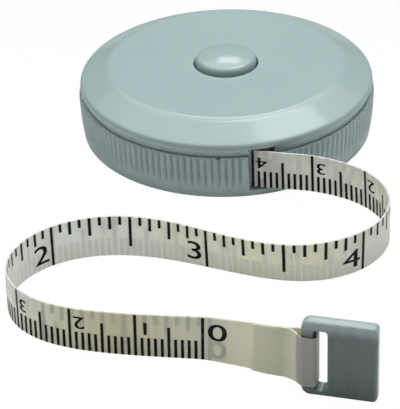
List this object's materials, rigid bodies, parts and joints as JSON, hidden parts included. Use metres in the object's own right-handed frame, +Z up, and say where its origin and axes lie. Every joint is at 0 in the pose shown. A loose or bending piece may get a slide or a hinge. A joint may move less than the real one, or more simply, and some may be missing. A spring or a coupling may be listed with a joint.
{
  "type": "retractable cloth tape measure",
  "caption": "Round pocket tape measure: fluted plastic case with a push-button spring reel, and a printed flat tape that ends in a pull tab.",
  "frame": {"origin": "middle of the case's flat underside, on the table", "axes": "+Z up along the reel's axis, +X to the right of the picture, -Y to the front, where the tape leaves the case"},
  "size_m": [0.0594, 0.1081, 0.0139],
  "materials": {
    "shell_plastic": "semi-gloss moulded",
    "tab_plastic": "semi-gloss moulded",
    "reel_plastic": "as moulded",
    "pad_rubber": "matte",
    "spring_steel": "rolled",
    "tape_cloth": "coated, printed in black"
  },
  "bodies": {
    "case": {"bottom_case": "shell_plastic", "top_cover": "shell_plastic", "power_spring": "spring_steel", "button_spring": "spring_steel"},
    "button": {"push_button": "shell_plastic", "brake_disc": "reel_plastic", "brake_pad": "pad_rubber"},
    "reel": {"reel_drum": "reel_plastic", "reel_cap": "reel_plastic", "spring_cover": "reel_plastic", "wound_tape": "tape_cloth"},
    "tape": {"free_tape": "tape_cloth"},
    "tab": {"end_tab": "tab_plastic"}
  },
  "joints": [
    {"name": "button_press", "type": "slide", "parent": "case", "child": "button", "axis": [0, 0, -1], "range_m": [0, 0.001], "stiffness_N_per_m": 900, "springref_m": -0.0005, "deforming": ["button_spring"]},
    {"name": "tape_pull", "type": "slide", "parent": "case", "child": "tape", "axis": [0.9565, -0.2918, 0], "range_m": [0, 0.008]},
    {"name": "reel_spin", "type": "hinge", "parent": "case", "child": "reel", "pos_m": [0, 0, 0], "axis": [0, 0, 1], "range_deg": [0, 22]},
    {"name": "tab_swing", "type": "hinge", "parent": "tape", "child": "tab", "pos_m": [0.0112, -0.07908, 0.006], "axis": [0, 0, 1], "range_deg": [-75, 75]}
  ],
  "couplings": [
    {"joint": "reel_spin", "follows": "tape_pull", "rad_per_m": 46.729}
  ]
}
